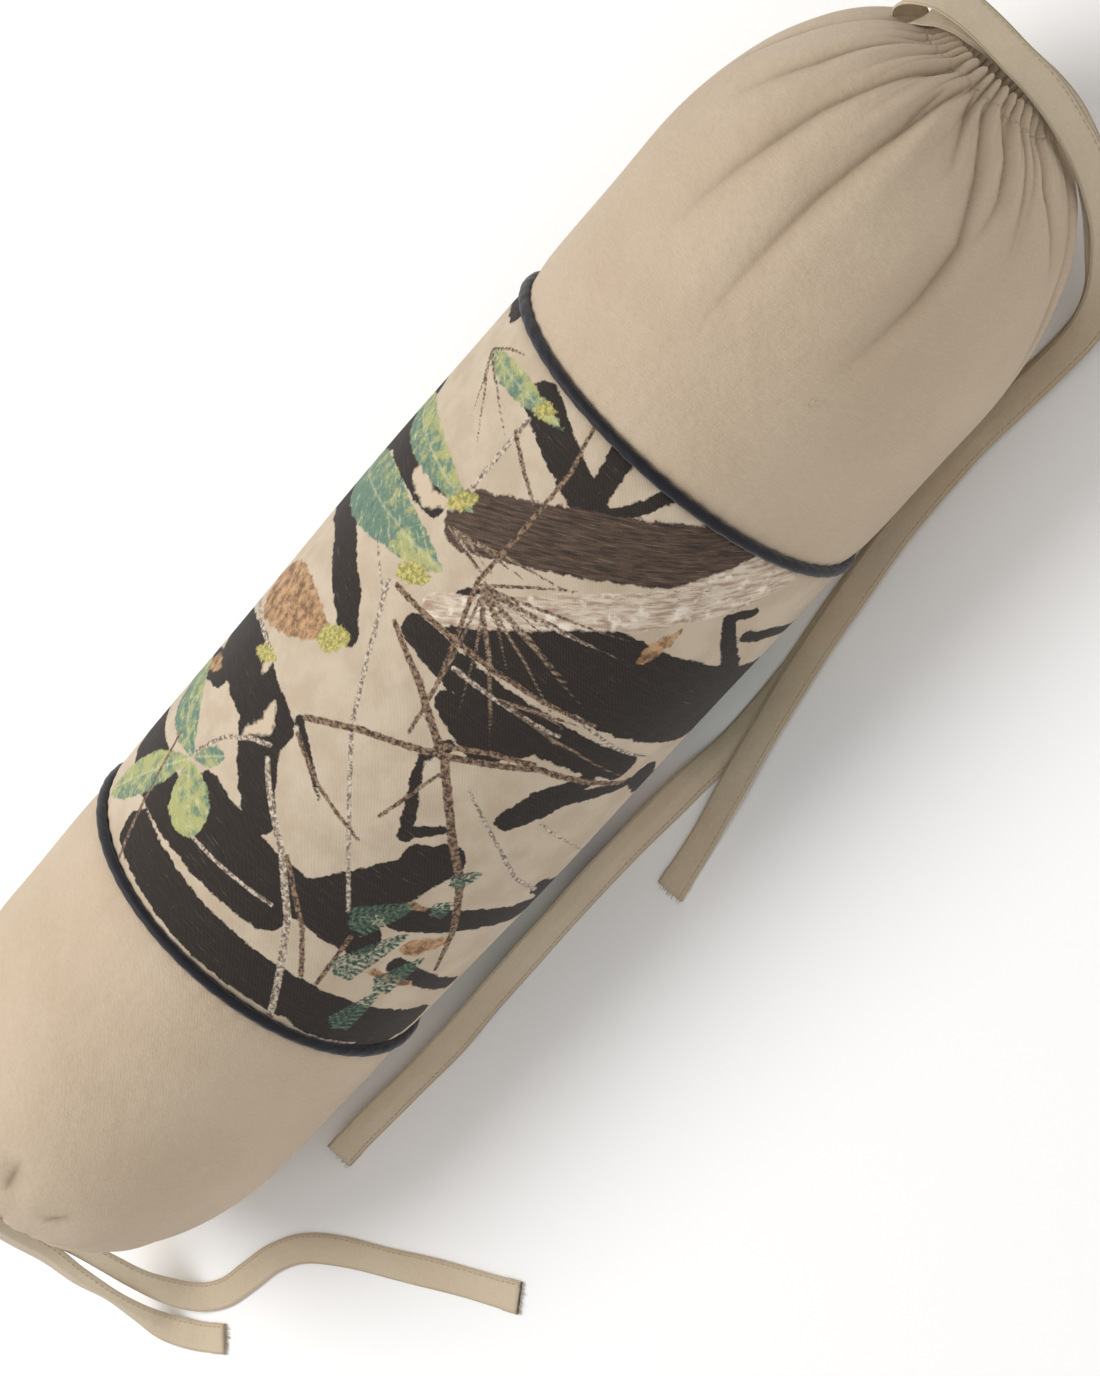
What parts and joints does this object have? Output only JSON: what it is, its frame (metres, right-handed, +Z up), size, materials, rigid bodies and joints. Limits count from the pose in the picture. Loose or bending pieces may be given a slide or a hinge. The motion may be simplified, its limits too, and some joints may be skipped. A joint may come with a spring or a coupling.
{
  "type": "training bumper",
  "caption": "Stuffed cloth bolster with a printed middle band, piped seams, plain ends drawn together round open mouths, and flat drawstring tails.",
  "frame": {"origin": "on the surface the bolster lies on, under the middle of its length", "axes": "+X along the drum towards the right mouth, +Z up, the tape tails lie on the -Y side"},
  "size_m": [0.7743, 0.2922, 0.1805],
  "materials": {
    "printed_twill": "cotton twill printed with a woodland pattern, matt",
    "khaki_twill": "plain khaki cotton twill, matt",
    "khaki_tape": "folded and edge-stitched khaki twill tape, matt",
    "navy_piping": "navy-black bias strip with a low sheen",
    "filler_cord": "twisted cotton filler cord",
    "calico": "unbleached calico",
    "fibre_filling": "packed polyester fibre"
  },
  "bodies": {
    "bolster": {"centre_panel": "printed_twill", "right_end_panel": "khaki_twill", "left_end_panel": "khaki_twill", "right_piping_strip": "navy_piping", "left_piping_strip": "navy_piping", "right_piping_cord": "filler_cord", "left_piping_cord": "filler_cord", "pad_casing_tube": "calico", "pad_casing_right_end": "calico", "pad_casing_left_end": "calico", "pad_filling": "fibre_filling"},
    "right_mouth": {"right_drawstring_channel": "khaki_twill", "right_drawstring_loop": "khaki_tape", "right_tail_long": "khaki_tape", "right_tail_short": "khaki_tape"},
    "left_mouth": {"left_drawstring_channel": "khaki_twill", "left_drawstring_loop": "khaki_tape", "left_tail_long": "khaki_tape", "left_tail_short": "khaki_tape"}
  },
  "joints": [
    {"name": "right_mouth_draw", "type": "slide", "parent": "bolster", "child": "right_mouth", "axis": [1, 0, 0], "range_m": [0, 0.02]},
    {"name": "left_mouth_draw", "type": "slide", "parent": "bolster", "child": "left_mouth", "axis": [-1, 0, 0], "range_m": [0, 0.02]}
  ]
}
